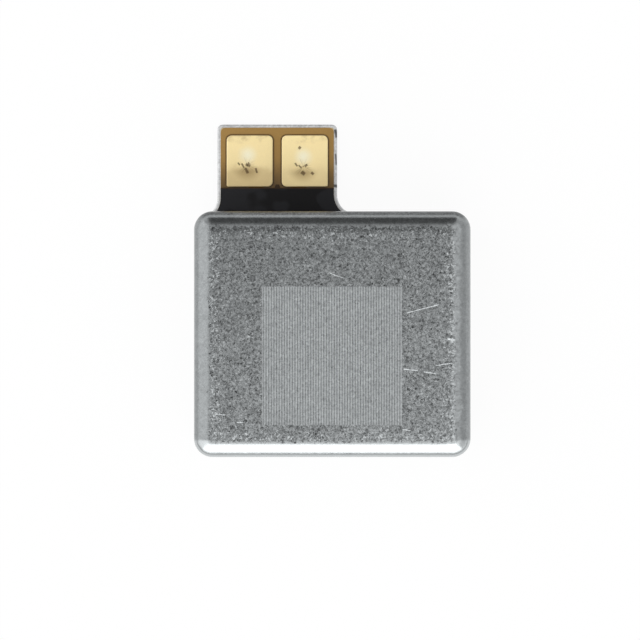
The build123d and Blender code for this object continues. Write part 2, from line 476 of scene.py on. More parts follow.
def place(piece, body, slot, *nodes):
    """The piece rides on a body, takes a finish and stands for these CAD nodes."""
    finish_of[piece.name] = slot
    if body:
        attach(piece, body)
    if nodes:
        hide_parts(*nodes)
    return piece


def copy_of(piece, name):
    """A new piece with a copy of the mesh, and none of the first one's placing."""
    twin = bpy.data.objects.new(name, piece.data.copy())
    bpy.context.collection.objects.link(twin)
    return twin


def half_turn(piece, name):
    """A copy turned half a turn about the can's upright centre line."""
    twin = copy_of(piece, name)
    twin.data.transform(Matrix.Rotation(math.pi, 4, "Z"))
    return twin


def place_pair(piece, twin_name, body, slot, node):
    """Place a right-hand piece and its half-turn copy, each for its own side's node."""
    twin = half_turn(piece, twin_name)
    place(piece, body, slot, node)
    place(twin, body, slot, node.replace("right", "left"))
    return twin


def lathe(name, rows, place_at, steps=32):
    """A round piece: its half profile, rows of (radius, height) in mm, drawn and spun."""
    profile = [(radius * mm, height * mm) for radius, height in rows]
    piece = pen_down(name, place_at + Vector((profile[0][0], 0, profile[0][1])))
    for (radius, height), (next_radius, next_height) in zip(profile, profile[1:]):
        carry(Vector((next_radius - radius, 0, next_height - height)))
    bpy.ops.mesh.select_all(action="SELECT")
    turn(place_at, 360, steps)
    return piece


def join(pieces, name):
    """Make one piece of several."""
    put_down()
    for piece in pieces:
        piece.select_set(True)
    bpy.context.view_layer.objects.active = pieces[0]
    bpy.ops.object.join()
    pieces[0].name = name
    return pieces[0]


# %% [markdown]
# ## Can
# The cover is drawn from 0.2 mm stainless sheet, so its rim is a true round from lid to wall. A
# block gets the corner radius on its upright edges and the rim radius on top, loses its floor and
# gets the wall from Solidify. A narrow inset keeps the lid's shading flat right up to the round.

# %% Cover
can_corner = 0.6 * mm
can_rim = 0.52 * mm
wall = 0.2 * mm
arc_steps = 14

cover = new_block("can_cover", can_low, can_high)
choose_edges(upright)
round_chosen(can_corner, arc_steps)
choose_edges(lambda a, b: near(a.z, can_high.z) and near(b.z, can_high.z))
round_chosen(can_rim, arc_steps)
choose_faces(lambda middle, normal: normal.z > 0.999)
bpy.ops.mesh.inset(thickness=0.02 * mm)
choose_faces(lambda middle, normal: normal.z < -0.999)
bpy.ops.mesh.delete(type="FACE")
close_mesh()
apply_modifier(cover, "SOLIDIFY", thickness=wall, offset=-1, use_even_offset=True)

tail_low, tail_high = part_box("flex_coverlay")
pad_left_low, pad_left_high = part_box("contact_pad_left")
pad_right_low, pad_right_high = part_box("contact_pad_right")
tab_x = (pad_left_low.x + pad_right_high.x) / 2
tail_width = 3.76 * mm
slot_gap = 0.06 * mm
slot_half = tail_width / 2 + slot_gap
cutter = new_block(
    "slot",
    Vector((tab_x - slot_half, can_high.y - 2 * wall, can_low.z - wall)),
    Vector((tab_x + slot_half, can_high.y + wall, tail_high.z + slot_gap)),
)
put_down()
cut(cover, cutter)
soften(cover, 0.025 * mm, steps=2)
place(cover, "stator", "can_steel", "cover")
print("cover faces", len(cover.data.polygons))

# %% [markdown]
# ## Welds on the can
# The cover is spot welded to the base plate along its foot, and each side wall has three spots
# where a spring is welded on inside. A spot is a low bead with a ring round it. It is turned on
# the lathe once, laid on its wall and copied.

# %% Seam and wall welds
bead_profile = [
    (0.0, 0.012),
    (0.05, 0.011),
    (0.09, 0.006),
    (0.115, 0.004),
    (0.14, 0.009),
    (0.16, 0.003),
    (0.17, -0.01),
    (0.0, -0.01),
]
bead = lathe("bead", bead_profile, Vector((0, 0, 0)), steps=20)
close_mesh()
smooth(bead, 60)


def bead_on(point, outward, name="bead_copy"):
    """A copy of the weld bead that faces outward at a point."""
    twin = copy_of(bead, name)
    turned = outward.to_track_quat("Z", "Y").to_matrix().to_4x4()
    twin.data.transform(Matrix.Translation(point) @ turned)
    return twin


# Where the seam's beads are: shares of the can's width and depth, and places along X.
front_shares = (-0.36, -0.12, 0.12, 0.36)
side_shares = (-0.34, 0.0, 0.34)
back_places = (1.2 * mm, 3.2 * mm)
spot_pitch = 0.45 * mm

seam_z = can_low.z
seam_beads = []
for share in front_shares:
    x = share * (can_high.x - can_low.x)
    seam_beads.append(bead_on(Vector((x, can_low.y, seam_z)), Vector((0, -1, 0))))
for share in side_shares:
    y = share * (can_high.y - can_low.y)
    seam_beads.append(bead_on(Vector((can_high.x, y, seam_z)), Vector((1, 0, 0))))
    seam_beads.append(bead_on(Vector((can_low.x, y, seam_z)), Vector((-1, 0, 0))))
for x in back_places:
    seam_beads.append(bead_on(Vector((x, can_high.y, seam_z)), Vector((0, 1, 0))))
place(join(seam_beads, "seam_welds"), "stator", "weld_steel")

plate_right_low, plate_right_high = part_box("outer_weld_plate_right")
spot_y = (plate_right_low.y + plate_right_high.y) / 2
spot_z = (plate_right_low.z + plate_right_high.z) / 2
wall_beads = []
for offset in (-spot_pitch, 0.0, spot_pitch):
    at = Vector((can_high.x, spot_y, spot_z + offset))
    wall_beads.append(bead_on(at, Vector((1, 0, 0))))
wall_welds_right = join(wall_beads, "wall_welds_right")
wall_welds_left = half_turn(wall_welds_right, "wall_welds_left")
place(wall_welds_right, "stator", "weld_steel")
place(wall_welds_left, "stator", "weld_steel")
bpy.data.objects.remove(bead)
print("seam beads", len(seam_beads))

# %% [markdown]
# ## Base plate
# The plate is stamped in one piece with the tab. Its outline is drawn with the pen: straight runs
# and arcs, with the tab's root flared into the can's corner. The films on the tab have the same
# outline a little further in, so each arc is drawn with an inset: less radius on an outside
# corner, more on an inside one.

# %% Outline of the tab
tab_width = 3.98 * mm
tip_radius = 0.18 * mm
root_radius = 0.62 * mm
plate_edge = 0.045 * mm
tab_left = tab_x - tab_width / 2
tab_right = tab_x + tab_width / 2
tab_end = plate_high.y
corner_x = can_high.x - can_corner
corner_y = can_high.y - can_corner

# The right root arc meets the can's straight back edge. The left one meets its corner arc.
right_root = Vector((tab_right + root_radius, can_high.y + root_radius))
left_root_x = tab_left - root_radius
across = -corner_x - left_root_x
left_root = Vector(
    (left_root_x, corner_y + math.sqrt((can_corner + root_radius) ** 2 - across**2))
)
left_lean = math.degrees(math.atan2(left_root.y - corner_y, across))


def tab_sides(inset, end_y, tip):
    """Draw up the tab's right side, round its tips and down its left side."""
    line_to(tab_right - inset, end_y - tip)
    arc_about(tab_right - inset - tip, end_y - tip, 90, 6)
    line_to(tab_left + inset + tip, end_y)
    arc_about(tab_left + inset + tip, end_y - tip, 90, 6)
    line_to(tab_left + inset, left_root.y)


# %% Plate
base_plate = pen_down("base_plate_stamped", Vector((-corner_x, can_low.y, plate_low.z)))
line_to(corner_x, can_low.y)
arc_about(corner_x, -corner_y, 90, arc_steps)
line_to(can_high.x, corner_y)
arc_about(corner_x, corner_y, 90, arc_steps)
line_to(right_root.x, can_high.y)
arc_about(right_root.x, right_root.y, -90, arc_steps)
tab_sides(0.0, tab_end, tip_radius)
arc_about(left_root.x, left_root.y, -left_lean, 10)
arc_about(-corner_x, corner_y, left_lean, 10)
line_to(can_low.x, -corner_y)
arc_about(-corner_x, -corner_y, 90, arc_steps)
fill_outline()
raise_outline(plate_high.z - plate_low.z)
soften(base_plate, plate_edge, steps=4)
place(base_plate, "stator", "base_steel", "base_plate")
print("plate faces", len(base_plate.data.polygons))

# %% [markdown]
# ## Flex circuit
# An amber film carries two copper tracks from the gold pads into the can, under a black coverlay
# that ends just before the pads. Film and coverlay are drawn with the pen. The coverlay is open
# over the two solder lands and moulded round the tracks, which copies of the CAD nodes cut out.

# %% Amber film
film_low, film_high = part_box("flex_base_film")
film_inset = 0.11 * mm
film_wall_gap = 0.03 * mm
film_tip_radius = 0.17 * mm
inside_radius = root_radius + film_inset
film_start = can_high.y + film_wall_gap
tail_right = tab_x + tail_width / 2
tail_left = tab_x - tail_width / 2


def flared_from_tail(name, low_z):
    """Start a film at its inner end and draw it up to the right side of the tab."""
    piece = pen_down(name, Vector((tail_right, tail_low.y, low_z)))
    line_to(tail_right, film_start)
    drop = right_root.y - film_start
    reach = math.sqrt(inside_radius**2 - drop**2)
    line_to(right_root.x - reach, film_start)
    arc_about(right_root.x, right_root.y, -math.degrees(math.atan2(drop, reach)), 8)
    return piece


def flared_to_tail():
    """Draw from the left side of the tab back to the film's inner end."""
    drop = left_root.y - film_start
    lean = math.degrees(math.asin(drop / inside_radius))
    arc_about(left_root.x, left_root.y, -lean, 8)
    line_to(tail_left, film_start)
    line_to(tail_left, tail_low.y)
    fill_outline()


film = flared_from_tail("amber_film", film_low.z)
tab_sides(film_inset, film_high.y, film_tip_radius)
flared_to_tail()
raise_outline(film_high.z - film_low.z)
soften(film, 0.01 * mm, steps=2)
place(film, "stator", "polyimide", "flex_base_film")

# %% Black coverlay
hump_half = 0.09 * mm
hump_rise = 0.11 * mm
between_pads = (pad_left_high.x + pad_right_low.x) / 2

coverlay = flared_from_tail("black_coverlay", tail_low.z)
line_to(tail_right, tail_high.y)
line_to(between_pads + hump_half, tail_high.y)
line_to(between_pads + hump_half * 0.6, tail_high.y + hump_rise)
line_to(between_pads - hump_half * 0.6, tail_high.y + hump_rise)
line_to(between_pads - hump_half, tail_high.y)
line_to(tail_left, tail_high.y)
line_to(tail_left, left_root.y)
flared_to_tail()
raise_outline(tail_high.z - tail_low.z)


def node_copy(node, name):
    """A merged copy of a CAD node's mesh, as a cutter."""
    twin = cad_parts[node].copy()
    twin.data = twin.data.copy()
    twin.parent = None
    twin.matrix_world = Matrix.Identity(4)
    twin.name = name
    bpy.context.collection.objects.link(twin)
    hold(twin)
    bpy.ops.object.mode_set(mode="EDIT")
    close_mesh()
    return twin


window_half = Vector((0.39, 0.29, 0)) * mm
below_film = Vector((0, 0, 0.02)) * mm
above_film = Vector((0, 0, 0.05)) * mm
for side in ("left", "right"):
    dome_low, dome_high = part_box("solder_joint_" + side)
    middle = (dome_low + dome_high) / 2
    window = new_block(
        "window",
        Vector((middle.x, middle.y, tail_low.z)) - below_film - window_half,
        Vector((middle.x, middle.y, tail_high.z)) + above_film + window_half,
    )
    put_down()
    cut(coverlay, window)
    cut(coverlay, node_copy("flex_conductor_" + side, "track"))
soften(coverlay, 0.012 * mm, steps=2)
place(coverlay, "stator", "black_film", "flex_coverlay")
print("coverlay faces", len(coverlay.data.polygons))

# %% [markdown]
# ## Contact pads
# A spring pin has pressed a shallow dish with a small pit into each gold pad. The dish is turned
# on the lathe from a profile. Its rim is then extruded ring by ring: each point goes straight out
# to the pad's outline, over a soft edge and down to the copper. The pins touched a little below
# the middles of the pads.

# %% Pads
pad_corner = 0.16 * mm
heel_corner = 0.04 * mm
pad_edge = 0.03 * mm
halvings = 30
dish_profile = [
    (0.0, -0.054),
    (0.02, -0.050),
    (0.035, -0.041),
    (0.055, -0.035),
    (0.09, -0.037),
    (0.15, -0.036),
    (0.21, -0.033),
    (0.27, -0.028),
    (0.33, -0.022),
    (0.40, -0.0155),
    (0.46, -0.011),
    (0.52, -0.0075),
    (0.575, -0.005),
]


def outside_pad(point, low, high, inset):
    """How far a point is outside the pad's outline, itself moved in by inset."""
    middle = (low + high) / 2
    outward = 1 if middle.x > tab_x else -1
    at_heel = point.y < middle.y and (point.x - middle.x) * outward > 0
    corner = max((heel_corner if at_heel else pad_corner) - inset, 0.01 * mm)
    over_x = abs(point.x - middle.x) - ((high.x - low.x) / 2 - inset - corner)
    over_y = abs(point.y - middle.y) - ((high.y - low.y) / 2 - inset - corner)
    beyond = math.hypot(max(over_x, 0), max(over_y, 0)) + min(max(over_x, over_y), 0)
    return beyond - corner


def ring_out(low, high, pit_at, inset, height):
    """Extrude the selected rim and move it straight out to the outline, at this height."""
    bpy.ops.mesh.extrude_region_move(TRANSFORM_OT_translate={"value": (0, 0, 0)})
    mesh = bpy.context.object.data
    cage = bmesh.from_edit_mesh(mesh)
    for point in cage.verts:
        if point.select:
            ray = (point.co - pit_at).xy.normalized()
            near_end, far_end = 0.0, (high - low).length
            for _ in range(halvings):
                reach = (near_end + far_end) / 2
                if outside_pad(pit_at.xy + ray * reach, low, high, inset) > 0:
                    far_end = reach
                else:
                    near_end = reach
            at = pit_at.xy + ray * far_end
            point.co = Vector((at.x, at.y, height))
    bmesh.update_edit_mesh(mesh)


def contact_pad(side, pit_offset):
    low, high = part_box("contact_pad_" + side)
    middle = (low + high) / 2
    pit_at = Vector((middle.x, middle.y, high.z)) + pit_offset
    pad = lathe("gold_pad_" + side, dish_profile, pit_at, steps=120)
    bpy.ops.mesh.select_all(action="SELECT")
    bpy.ops.mesh.remove_doubles(threshold=same_point)
    choose_rims()
    ring_out(low, high, pit_at, pad_edge * 1.5, high.z)
    for degrees in (0, 25, 50, 75, 90):
        lean = math.radians(degrees)
        inset = pad_edge * (1 - math.sin(lean))
        height = high.z - pad_edge * (1 - math.cos(lean))
        ring_out(low, high, pit_at, inset, height)
    ring_out(low, high, pit_at, 0.0, low.z)
    bpy.ops.mesh.edge_face_add()
    close_mesh()
    smooth(pad, 50)
    return place(pad, "stator", "gold_plate", "contact_pad_" + side)


pit_offsets = {
    "left": Vector((-0.07, -0.14, 0)) * mm,
    "right": Vector((-0.05, -0.19, 0)) * mm,
}
for side, pit_offset in pit_offsets.items():
    pad = contact_pad(side, pit_offset)
    print(pad.name, "faces", len(pad.data.polygons))

# %% [markdown]
# ## Coil
# The coil is a racetrack of enamelled wire, bonded flat to the plate. Its section is drawn with a
# half-round for each turn that shows, and that outline is then carried down the straights and spun
# round the corners, as the wire is laid.

# %% Coil
coil_low, coil_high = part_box("coil")
coil_section = 1.05 * mm
hole_corner = 0.25 * mm
outer_corner = hole_corner + coil_section
turns_across = 13
turns_high = 10
# A 120 degree arc over one turn's pitch stands this share of the pitch proud of its ends.
arc_rise = (1 - math.cos(math.radians(60))) / (2 * math.sin(math.radians(60)))


def wire_row(count, run, outward):
    """Draw a row of wires seen from the end: one arc for each."""
    pitch = run / count
    for _ in range(count):
        radius = pitch.length / (2 * math.sin(math.radians(60)))
        centre = pen_at() + pitch / 2 - outward * radius * math.cos(math.radians(60))
        turn(centre, 120, 3, Vector((0, -1, 0)))


straight_x = coil_high.x - outer_corner
straight_y = coil_high.y - outer_corner
proud_side = arc_rise * (coil_high.z - coil_low.z) / turns_high
proud_top = arc_rise * coil_section / turns_across
outer_x = coil_high.x - proud_side
inner_x = coil_high.x - coil_section + proud_side
top_z = coil_high.z - proud_top

coil = pen_down("coil_winding", Vector((outer_x, -straight_y, coil_low.z)))
rise = Vector((0, 0, top_z - coil_low.z))
wire_row(turns_high, rise, Vector((1, 0, 0)))
wire_row(turns_across, Vector((inner_x - outer_x, 0, 0)), UP)
wire_row(turns_high, -rise, Vector((-1, 0, 0)))
carry(Vector((outer_x - inner_x, 0, 0)))
bpy.ops.mesh.select_all(action="SELECT")
bpy.ops.mesh.remove_doubles(threshold=same_point)
bpy.ops.mesh.select_mode(type="EDGE")
bpy.ops.mesh.select_all(action="SELECT")
for sign_x, sign_y, run in (
    (1, 1, Vector((0, 2 * straight_y, 0))),
    (-1, 1, Vector((-2 * straight_x, 0, 0))),
    (-1, -1, Vector((0, -2 * straight_y, 0))),
    (1, -1, Vector((2 * straight_x, 0, 0))),
):
    carry(run)
    turn(Vector((sign_x * straight_x, sign_y * straight_y, coil_low.z)), 90, 9)
close_mesh()
smooth(coil, 50)
place(coil, "stator", "enamelled_wire", "coil")
print("coil faces", len(coil.data.polygons))

# %% [markdown]
# ## Coil leads and solder
# A lead is a round section carried along its route with a tight bend at each corner: the outer end
# of the winding goes to the left land, and the inner end comes up over the end turn to the right
# one. Each is held by a dome of solder with a hollow foot, turned on the lathe.

# %% Leads
lead_radius = 0.03 * mm
lead_gap = 0.01 * mm
lead_bend = 0.06 * mm
stand_off = lead_radius + lead_gap
run_z = tail_high.z + stand_off
start_z = (coil_low.z + coil_high.z) / 2
over_z = coil_high.z + stand_off
past_end_y = coil_high.y + stand_off
hole_y = coil_high.y - coil_section - stand_off
lead_exit = 0.3 * mm
land_of = {}
for side in ("left", "right"):
    dome_low, dome_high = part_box("solder_joint_" + side)
    land_of[side] = ((dome_low + dome_high) / 2).xy

lead_routes = {
    "left": [
        Vector((-lead_exit, past_end_y, start_z)),
        Vector((-lead_exit, past_end_y, run_z)),
        Vector((land_of["left"].x, land_of["left"].y, run_z)),
    ],
    "right": [
        Vector((lead_exit, hole_y, start_z)),
        Vector((lead_exit, hole_y, over_z)),
        Vector((lead_exit, past_end_y, over_z)),
        Vector((lead_exit, past_end_y, run_z)),
        Vector((land_of["right"].x, land_of["right"].y, run_z)),
    ],
}
for side, route in lead_routes.items():
    put_down()
    bpy.ops.mesh.primitive_circle_add(vertices=16, radius=lead_radius, location=route[0])
    lead = bpy.context.object
    lead.name = "lead_" + side
    bpy.ops.object.transform_apply(location=True, rotation=True, scale=True)
    bpy.ops.object.mode_set(mode="EDIT")
    bpy.ops.mesh.select_mode(type="EDGE")
    bpy.ops.mesh.select_all(action="SELECT")
    follow(route, [lead_bend] * (len(route) - 2), 6)
    bpy.ops.mesh.edge_face_add()
    choose_rims()
    bpy.ops.mesh.edge_face_add()
    close_mesh()
    smooth(lead, 50)
    place(lead, "stator", "enamelled_wire", "coil_lead_" + side)

# %% Solder
solder_profile = [
    (0.0, 0.130),
    (0.05, 0.127),
    (0.10, 0.112),
    (0.14, 0.086),
    (0.165, 0.055),
    (0.18, 0.030),
    (0.195, 0.012),
    (0.22, 0.003),
    (0.22, 0.0),
    (0.0, 0.0),
]
for side in ("left", "right"):
    dome_low, dome_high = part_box("solder_joint_" + side)
    middle = (dome_low + dome_high) / 2
    dome = lathe("solder_dome_" + side, solder_profile, Vector((middle.x, middle.y, dome_low.z)))
    close_mesh()
    smooth(dome, 60)
    place(dome, "stator", "solder", "solder_joint_" + side)
print("leads and domes", len(land_of))

# %% [markdown]
# ## Weight
# The weight is sintered tungsten alloy. Its pockets for the coil, the magnets and the pole plate go
# right through it in three steps, so three plain cutters are enough. The long edges at top and
# bottom are chamfered.

# %% Weight
weight_low, weight_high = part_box("weight")
weight_corner = 0.35 * mm
weight_chamfer = 0.08 * mm
end_wall = 0.75 * mm
side_wall = 0.7 * mm
magnet_joint = 0.01 * mm

weight = new_block("tungsten_weight", weight_low, weight_high)
choose_edges(upright)
round_chosen(weight_corner, 8)
choose_edges(
    lambda a, b: (near(a.z, weight_low.z) and near(b.z, weight_low.z))
    or (near(a.z, weight_high.z) and near(b.z, weight_high.z))
)
round_chosen(weight_chamfer, 1)
close_mesh()

magnet_low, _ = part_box("magnet_left")
_, magnet_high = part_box("magnet_right")
pole_low, pole_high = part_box("pole_plate")
joint = Vector((magnet_joint, magnet_joint, 0))
beyond = Vector((0, 0, wall))
coil_room_high = Vector(
    (weight_high.x - end_wall, weight_high.y - side_wall, magnet_low.z - magnet_joint)
)
coil_room_low = Vector((-coil_room_high.x, -coil_room_high.y, weight_low.z)) - beyond
rooms = [
    ("coil_room", coil_room_low, coil_room_high),
    ("magnet_room", magnet_low - joint - beyond, magnet_high + joint + beyond),
    ("plate_room", pole_low, pole_high + beyond),
]
for name, low, high in rooms:
    cutter = new_block(name, low, high)
    put_down()
    cut(weight, cutter)
soften(weight, 0.02 * mm, steps=2)
place(weight, "mover", "tungsten_alloy", "weight")
print("weight faces", len(weight.data.polygons))

# %% [markdown]
# ## Magnets and pole plate
# Three nickel-plated magnets stand side by side in the weight under a soft iron plate. Sintered
# magnets have tumbled, rounded edges. The stamped plate has round corners.

# %% Magnets
magnet_edge = 0.06 * mm
for side in ("left", "centre", "right"):
    low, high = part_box("magnet_" + side)
    magnet = new_block("magnet_block_" + side, low, high)
    choose_edges(lambda a, b: True)
    round_chosen(magnet_edge, 3)
    close_mesh()
    smooth(magnet, 40)
    place(magnet, "mover", "nickel_plate", "magnet_" + side)

pole_plate = new_block("pole_plate_stamped", pole_low, pole_high)
choose_edges(upright)
round_chosen(0.12 * mm, 5)
close_mesh()
soften(pole_plate, 0.03 * mm, steps=3)
place(pole_plate, "mover", "pole_steel", "pole_plate")

# %% [markdown]
# ## V springs
# A spring is one strip: an arm welded to the can's wall, a tight bend, and an arm welded to the
# weight. When the weight slides, each arm bends like a cantilever and the bend moves half as far.
# So the strip is made in three lengths that meet end to end.

# %% Spring strip
spring_low, spring_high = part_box("spring_right")
strip = 0.12 * mm
knee_radius = 0.8 * mm
bend_radius = 0.17 * mm
bend_width = 0.42 * mm
weld_zone = 1.6 * mm
meet_drop = 0.21 * mm

wall_x = spring_high.x - strip / 2
mass_x = spring_low.x + strip / 2
bend_x = (wall_x + mass_x) / 2
bend_y = spring_high.y - strip / 2
end_y = spring_low.y
knee_y = end_y + weld_zone


def flat_point(x, y):
    return Vector((x, y, spring_low.z))


def between(start, end, y):
    """The point on a straight arm at this place along Y."""
    return start.lerp(end, (y - start.y) / (end.y - start.y))


wall_foot = flat_point(wall_x, end_y)
wall_knee = flat_point(wall_x, knee_y)
wall_top = flat_point(bend_x + bend_width / 2, bend_y)
mass_top = flat_point(bend_x - bend_width / 2, bend_y)
mass_knee = flat_point(mass_x, knee_y)
mass_foot = flat_point(mass_x, end_y)
meet_y = bend_y - meet_drop
wall_meet = between(wall_knee, wall_top, meet_y)
mass_meet = between(mass_knee, mass_top, meet_y)


def strip_along(name, route, radii, steps, cuts):
    """A length of strip: its section stood on end and carried along the route."""
    ahead = (route[1] - route[0]).normalized()
    aside = ahead.cross(UP) * strip / 2
    tall = Vector((0, 0, spring_high.z - spring_low.z))
    piece = pen_down(name, route[0] + aside)
    carry(-2 * aside)
    carry(tall)
    carry(2 * aside)
    bpy.ops.mesh.select_all(action="SELECT")
    bpy.ops.mesh.edge_face_add()
    bpy.ops.mesh.bevel(offset=0.03 * mm, segments=3, affect="VERTICES")
    bpy.ops.mesh.delete(type="ONLY_FACE")
    bpy.ops.mesh.select_mode(type="EDGE")
    bpy.ops.mesh.select_all(action="SELECT")
    follow(route, radii, steps, cuts)
    bpy.ops.mesh.edge_face_add()
    choose_rims()
    bpy.ops.mesh.edge_face_add()
    close_mesh()
    smooth(piece, 50)
    return piece


wall_route = [wall_foot, wall_knee, wall_meet]
mass_route = [mass_foot, mass_knee, mass_meet]
wall_arm = strip_along("spring_right_wall_arm", wall_route, [knee_radius], 3, 14)
bend = strip_along(
    "spring_right_bend", [wall_meet, wall_top, mass_top, mass_meet], [bend_radius] * 2, 10, 1
)
mass_arm = strip_along("spring_right_mass_arm", mass_route, [knee_radius], 3, 14)

# %% Springs in place
for side, sign in (("right", 1), ("left", -1)):
    arms = [wall_arm, bend, mass_arm]
    if side == "left":
        arms = [half_turn(arm, arm.name.replace("right", "left")) for arm in arms]
    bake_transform(arms[0])
    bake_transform(arms[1])
    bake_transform(arms[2])
    for arm in arms:
        place(arm, None, "spring_steel", "spring_" + side)
print("arms meet at", round(meet_y / mm, 3), "mm")

# %% [markdown]
# ## Weld plates, stops and foam
# A small backing plate is spot welded over each end of a spring. The outer ones carry a rubber stop
# for the end of the travel. A strip of foam on the weight catches the spring's arm and keeps it
# quiet. The left-hand set is the right-hand one turned half a turn about the can's centre.

# %% Weld plates
for node, name, body in (
    ("outer_weld_plate_right", "outer_plate_right", "stator"),
    ("inner_weld_plate_right", "inner_plate_right", "mover"),
):
    low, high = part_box(node)
    weld_plate = new_block(name + "_blank", low, high)
    choose_edges(lambda a, b: near(a.y, b.y) and near(a.z, b.z))
    round_chosen(0.12 * mm, 5)
    close_mesh()
    soften(weld_plate, 0.02 * mm, steps=2)
    twin_name = name.replace("right", "left") + "_blank"
    place_pair(weld_plate, twin_name, body, "weld_steel", node)

# %% Rubber stops
stop_low, stop_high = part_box("bumper_right")
stop = new_block("rubber_stop_right", stop_low, stop_high)
choose_edges(lambda a, b: near(a.y, b.y) and near(a.z, b.z))
round_chosen(0.15 * mm, 6)
choose_edges(lambda a, b: near(a.x, stop_low.x) and near(b.x, stop_low.x))
round_chosen(0.03 * mm, 3)
close_mesh()
smooth(stop, 50)
place_pair(stop, "rubber_stop_left", "stator", "stop_rubber", "bumper_right")

# %% Foam strips
foam_low, foam_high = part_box("damper_foam_right")
foam = new_block("foam_strip_right", foam_low, foam_high)
bpy.ops.mesh.select_all(action="SELECT")
bpy.ops.mesh.subdivide(number_cuts=11)
close_mesh()
foam_middle = (foam_low + foam_high) / 2
foam_half = (foam_high - foam_low) / 2
for point in foam.data.vertices:
    share_y = (point.co.y - foam_middle.y) / foam_half.y
    share_z = (point.co.z - foam_middle.z) / foam_half.z
    crown = (1 - share_y**4) * (1 - share_z**4)
    out = (point.co.x - foam_low.x) / (foam_high.x - foam_low.x)
    point.co.x -= out * (1 - crown) * 0.025 * mm
    point.co.y -= share_y * abs(share_z) ** 4 * out * 0.03 * mm
    point.co.z -= share_z * abs(share_y) ** 4 * out * 0.03 * mm
apply_modifier(foam, "SUBSURF", levels=1, render_levels=1)
smooth(foam, 60)
foam_left = place_pair(foam, "foam_strip_left", "mover", "damping_foam", "damper_foam_right")
print("foam faces", len(foam.data.polygons))

# %% [markdown]
# ## Finishes
# Every finish is worked out from the piece's own place in millimetres, so it stays put when the
# piece is moved or exported. A Finish is one material: its constants go straight on the shader's
# sockets, and only colour, roughness and bump vary over the surface.

# %% Finish


class Finish(Nodes):
    """One material, named for its slot, with a principled shader."""

    def __init__(self, slot, constants):
        material = bpy.data.materials.new("finish_" + slot)
        material.use_nodes = True
        super().__init__(material.node_tree)
        self.shader = self.tree.nodes.new("ShaderNodeBsdfPrincipled")
        for name, value in constants.items():
            self.shader.inputs[name].default_value = value
        surface = Wire(self, self.shader.outputs[0])
        self.add("OutputMaterial", {}, {"Surface": surface})
        metres = self.add("TexCoord", out="Object")
        self.place = self.vector("MULTIPLY", metres, (1 / mm, 1 / mm, 1 / mm))
        self.x, self.y, self.z = self.parts(self.place)
        finishes[slot] = material

    def feed(self, socket, wire):
        self.tree.links.new(wire.socket, self.shader.inputs[socket])

    def noise(self, size, detail=2.0, distortion=0.0, stretch=None):
        """Noise from about -1 to 1 with lumps of this size in millimetres."""
        place = self.place
        if stretch:
            place = self.vector("MULTIPLY", place, stretch)
        value = self.add(
            "TexNoise",
            {},
            {"Vector": place, "Scale": 1 / size, "Detail": detail, "Distortion": distortion},
        )
        return (value - 0.5) * 3.0

    def bump(self, height, depth):
        """Feed a height, in parts of this depth in millimetres, to the shader's normal."""
        normal = self.add(
            "Bump", {}, {"Height": height, "Distance": depth * mm, "Strength": 1.0}
        )
        self.feed("Normal", normal)

    def tones(self, grain, start, end, dark, light):
        """Between two screen colours by the height of the grain."""
        return self.blend(self.step(grain, start, end), display(*dark), display(*light))

    def grained(self, grain, start, end, dark, light, rough, rough_grain, depth):
        """Colour, gloss and bump that all come from one grain."""
        self.feed("Base Color", self.tones(grain, start, end, dark, light))
        self.feed("Roughness", rough + grain * rough_grain)
        self.bump(grain, depth)

    def strokes(self, marks):
        """1 on any of these lines."""
        return self.clamp(sum(self.stroke(*mark) for mark in marks))

    def box_edge(self, low, high, corner=0.0):
        """Distance out from a rounded rectangle's edge, in millimetres; less than 0 inside."""
        middle = (low + high) / 2 / mm
        half = (high - low) / 2 / mm
        over_x = abs(self.x - middle.x) - (half.x - corner)
        over_y = abs(self.y - middle.y) - (half.y - corner)
        outside_x = self.maths("MAXIMUM", over_x, 0.0)
        outside_y = self.maths("MAXIMUM", over_y, 0.0)
        outside = self.maths("SQRT", outside_x * outside_x + outside_y * outside_y)
        inside = self.maths("MINIMUM", self.maths("MAXIMUM", over_x, over_y), 0.0)
        return outside + inside - corner

    def stroke(self, start, end, width):
        """1 on a thin straight line between two places in millimetres, and 0 off it."""
        (start_x, start_y), (end_x, end_y) = start, end
        run_x, run_y = end_x - start_x, end_y - start_y
        length = math.hypot(run_x, run_y)
        dx = self.x - start_x
        dy = self.y - start_y
        along = (dx * (run_x / length) + dy * (run_y / length)) / length
        aside = abs(dx * (run_y / length) - dy * (run_x / length))
        ends = self.step(along, 0.0, 0.15) * self.step(along, 1.0, 0.85)
        return self.step(aside, width, width * 0.4) * ends


finishes = {}

# %% [markdown]
# ### Can steel
# The sheet is tumbled after drawing, which leaves a fine mottle of short worm-like marks, small
# bright nicks that gather along the rim, and a few scratches. A laser has frosted a plain square
# of fine upright hatching in the middle of the lid. Every mark is a mask from 0 to 1, and the
# masks add up to one grey, the reflectance. The round rim is brighter than the lid. Light and
# shade are painted into that grey too: the lid darkens towards the back and the left, its back
# edge is painted darker still, the rim's front carries a painted highlight with a thin painted
# horizon line, and its back a painted dark band on the shoulder. The lid is also brighter in
# patches along its right-hand edge, and the walls have the faint upright die lines of a drawn can.

# %% Can steel
steel = Finish("can_steel", {"Metallic": 1.0})
lid_top = can_high.z / mm
half_x = can_high.x / mm
half_y = can_high.y / mm
flat_corner = 0.08
lid_level = 0.268
frost_level = 0.345
rim_level = 0.31
painted_front_highlight = 0.235
horizon_depth = 0.20
horizon_drop = 0.205
mottle_contrast = 1.65

fine = steel.noise(0.068, detail=1.5, distortion=1.2)
middling = steel.noise(0.15, detail=2.0, distortion=0.8)
cloudy = steel.noise(1.3, detail=2.0)
drifting = steel.noise(0.42, detail=2.0)
mottle = fine * 0.66 + middling * 0.24
curl = steel.noise(0.15, detail=1.0, distortion=1.8)
curl_patch = steel.noise(0.22, detail=1.0)
curls = steel.step(abs(curl), 0.10, 0.02) * steel.step(curl_patch, 0.02, 0.35)

